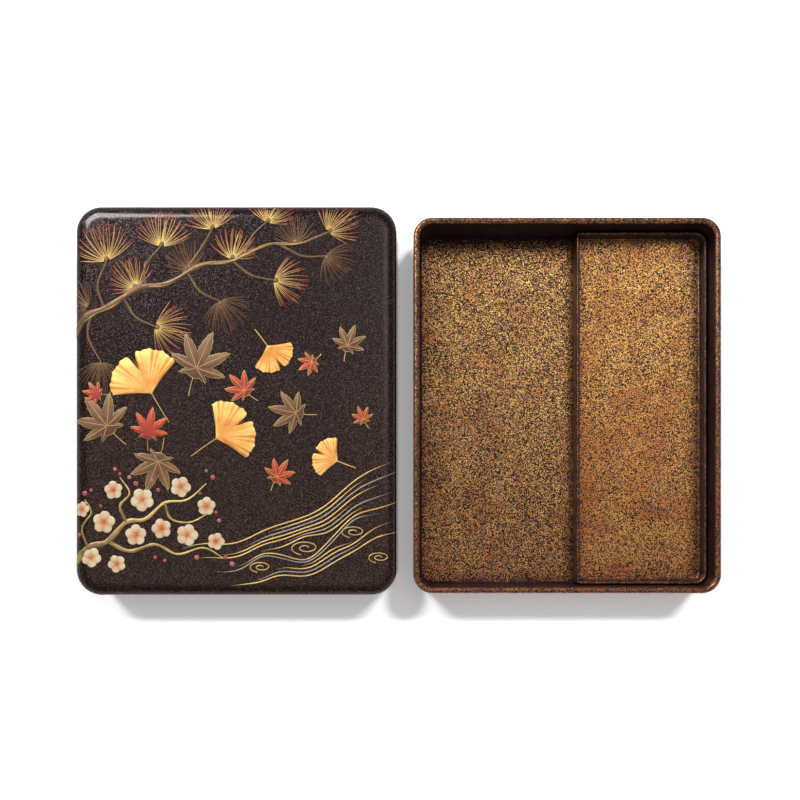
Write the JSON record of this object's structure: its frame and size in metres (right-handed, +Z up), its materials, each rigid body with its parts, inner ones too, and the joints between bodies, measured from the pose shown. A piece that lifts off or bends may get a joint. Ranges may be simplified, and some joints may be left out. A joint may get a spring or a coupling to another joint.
{
  "type": "writing box",
  "caption": "Shallow lacquered writing box with rounded corners, a loose tray along its right side and an overlapping lid that lies face up beside it.",
  "frame": {"origin": "centre of the underside of the box, on the surface it stands on", "axes": "+Z up; +X to the right, along the box's short side and away from the lid; +Y to the back, along its long side"},
  "size_m": [0.4044, 0.2436, 0.0455],
  "materials": {
    "box_lacquer": "glossy lacquer sprinkled with gold on wood",
    "tray_lacquer": "glossy lacquer sprinkled with gold on wood",
    "lid_lacquer": "glossy brown-black lacquer with fine metal powder on wood",
    "joint_wood": "bare softwood"
  },
  "bodies": {
    "box": {"box_bottom_board": "box_lacquer", "box_wall_front": "box_lacquer", "box_wall_right": "box_lacquer", "box_wall_back": "box_lacquer", "box_wall_left": "box_lacquer", "box_spline_front_left": "joint_wood", "box_spline_front_right": "joint_wood", "box_spline_back_right": "joint_wood", "box_spline_back_left": "joint_wood"},
    "tray": {"tray_bottom_board": "tray_lacquer", "tray_wall_front": "tray_lacquer", "tray_wall_right": "tray_lacquer", "tray_wall_back": "tray_lacquer", "tray_wall_left": "tray_lacquer"},
    "lid": {"lid_top_board": "lid_lacquer", "lid_wall_front": "lid_lacquer", "lid_wall_right": "lid_lacquer", "lid_wall_back": "lid_lacquer", "lid_wall_left": "lid_lacquer", "lid_spline_front_left": "joint_wood", "lid_spline_front_right": "joint_wood", "lid_spline_back_right": "joint_wood", "lid_spline_back_left": "joint_wood"}
  },
  "joints": [
    {"name": "lid_lift", "type": "slide", "parent": "box", "child": "lid", "axis": [0, 0, 1], "range_m": [0, 0.08]},
    {"name": "tray_lift", "type": "slide", "parent": "box", "child": "tray", "axis": [0, 0, 1], "range_m": [0, 0.06]}
  ]
}
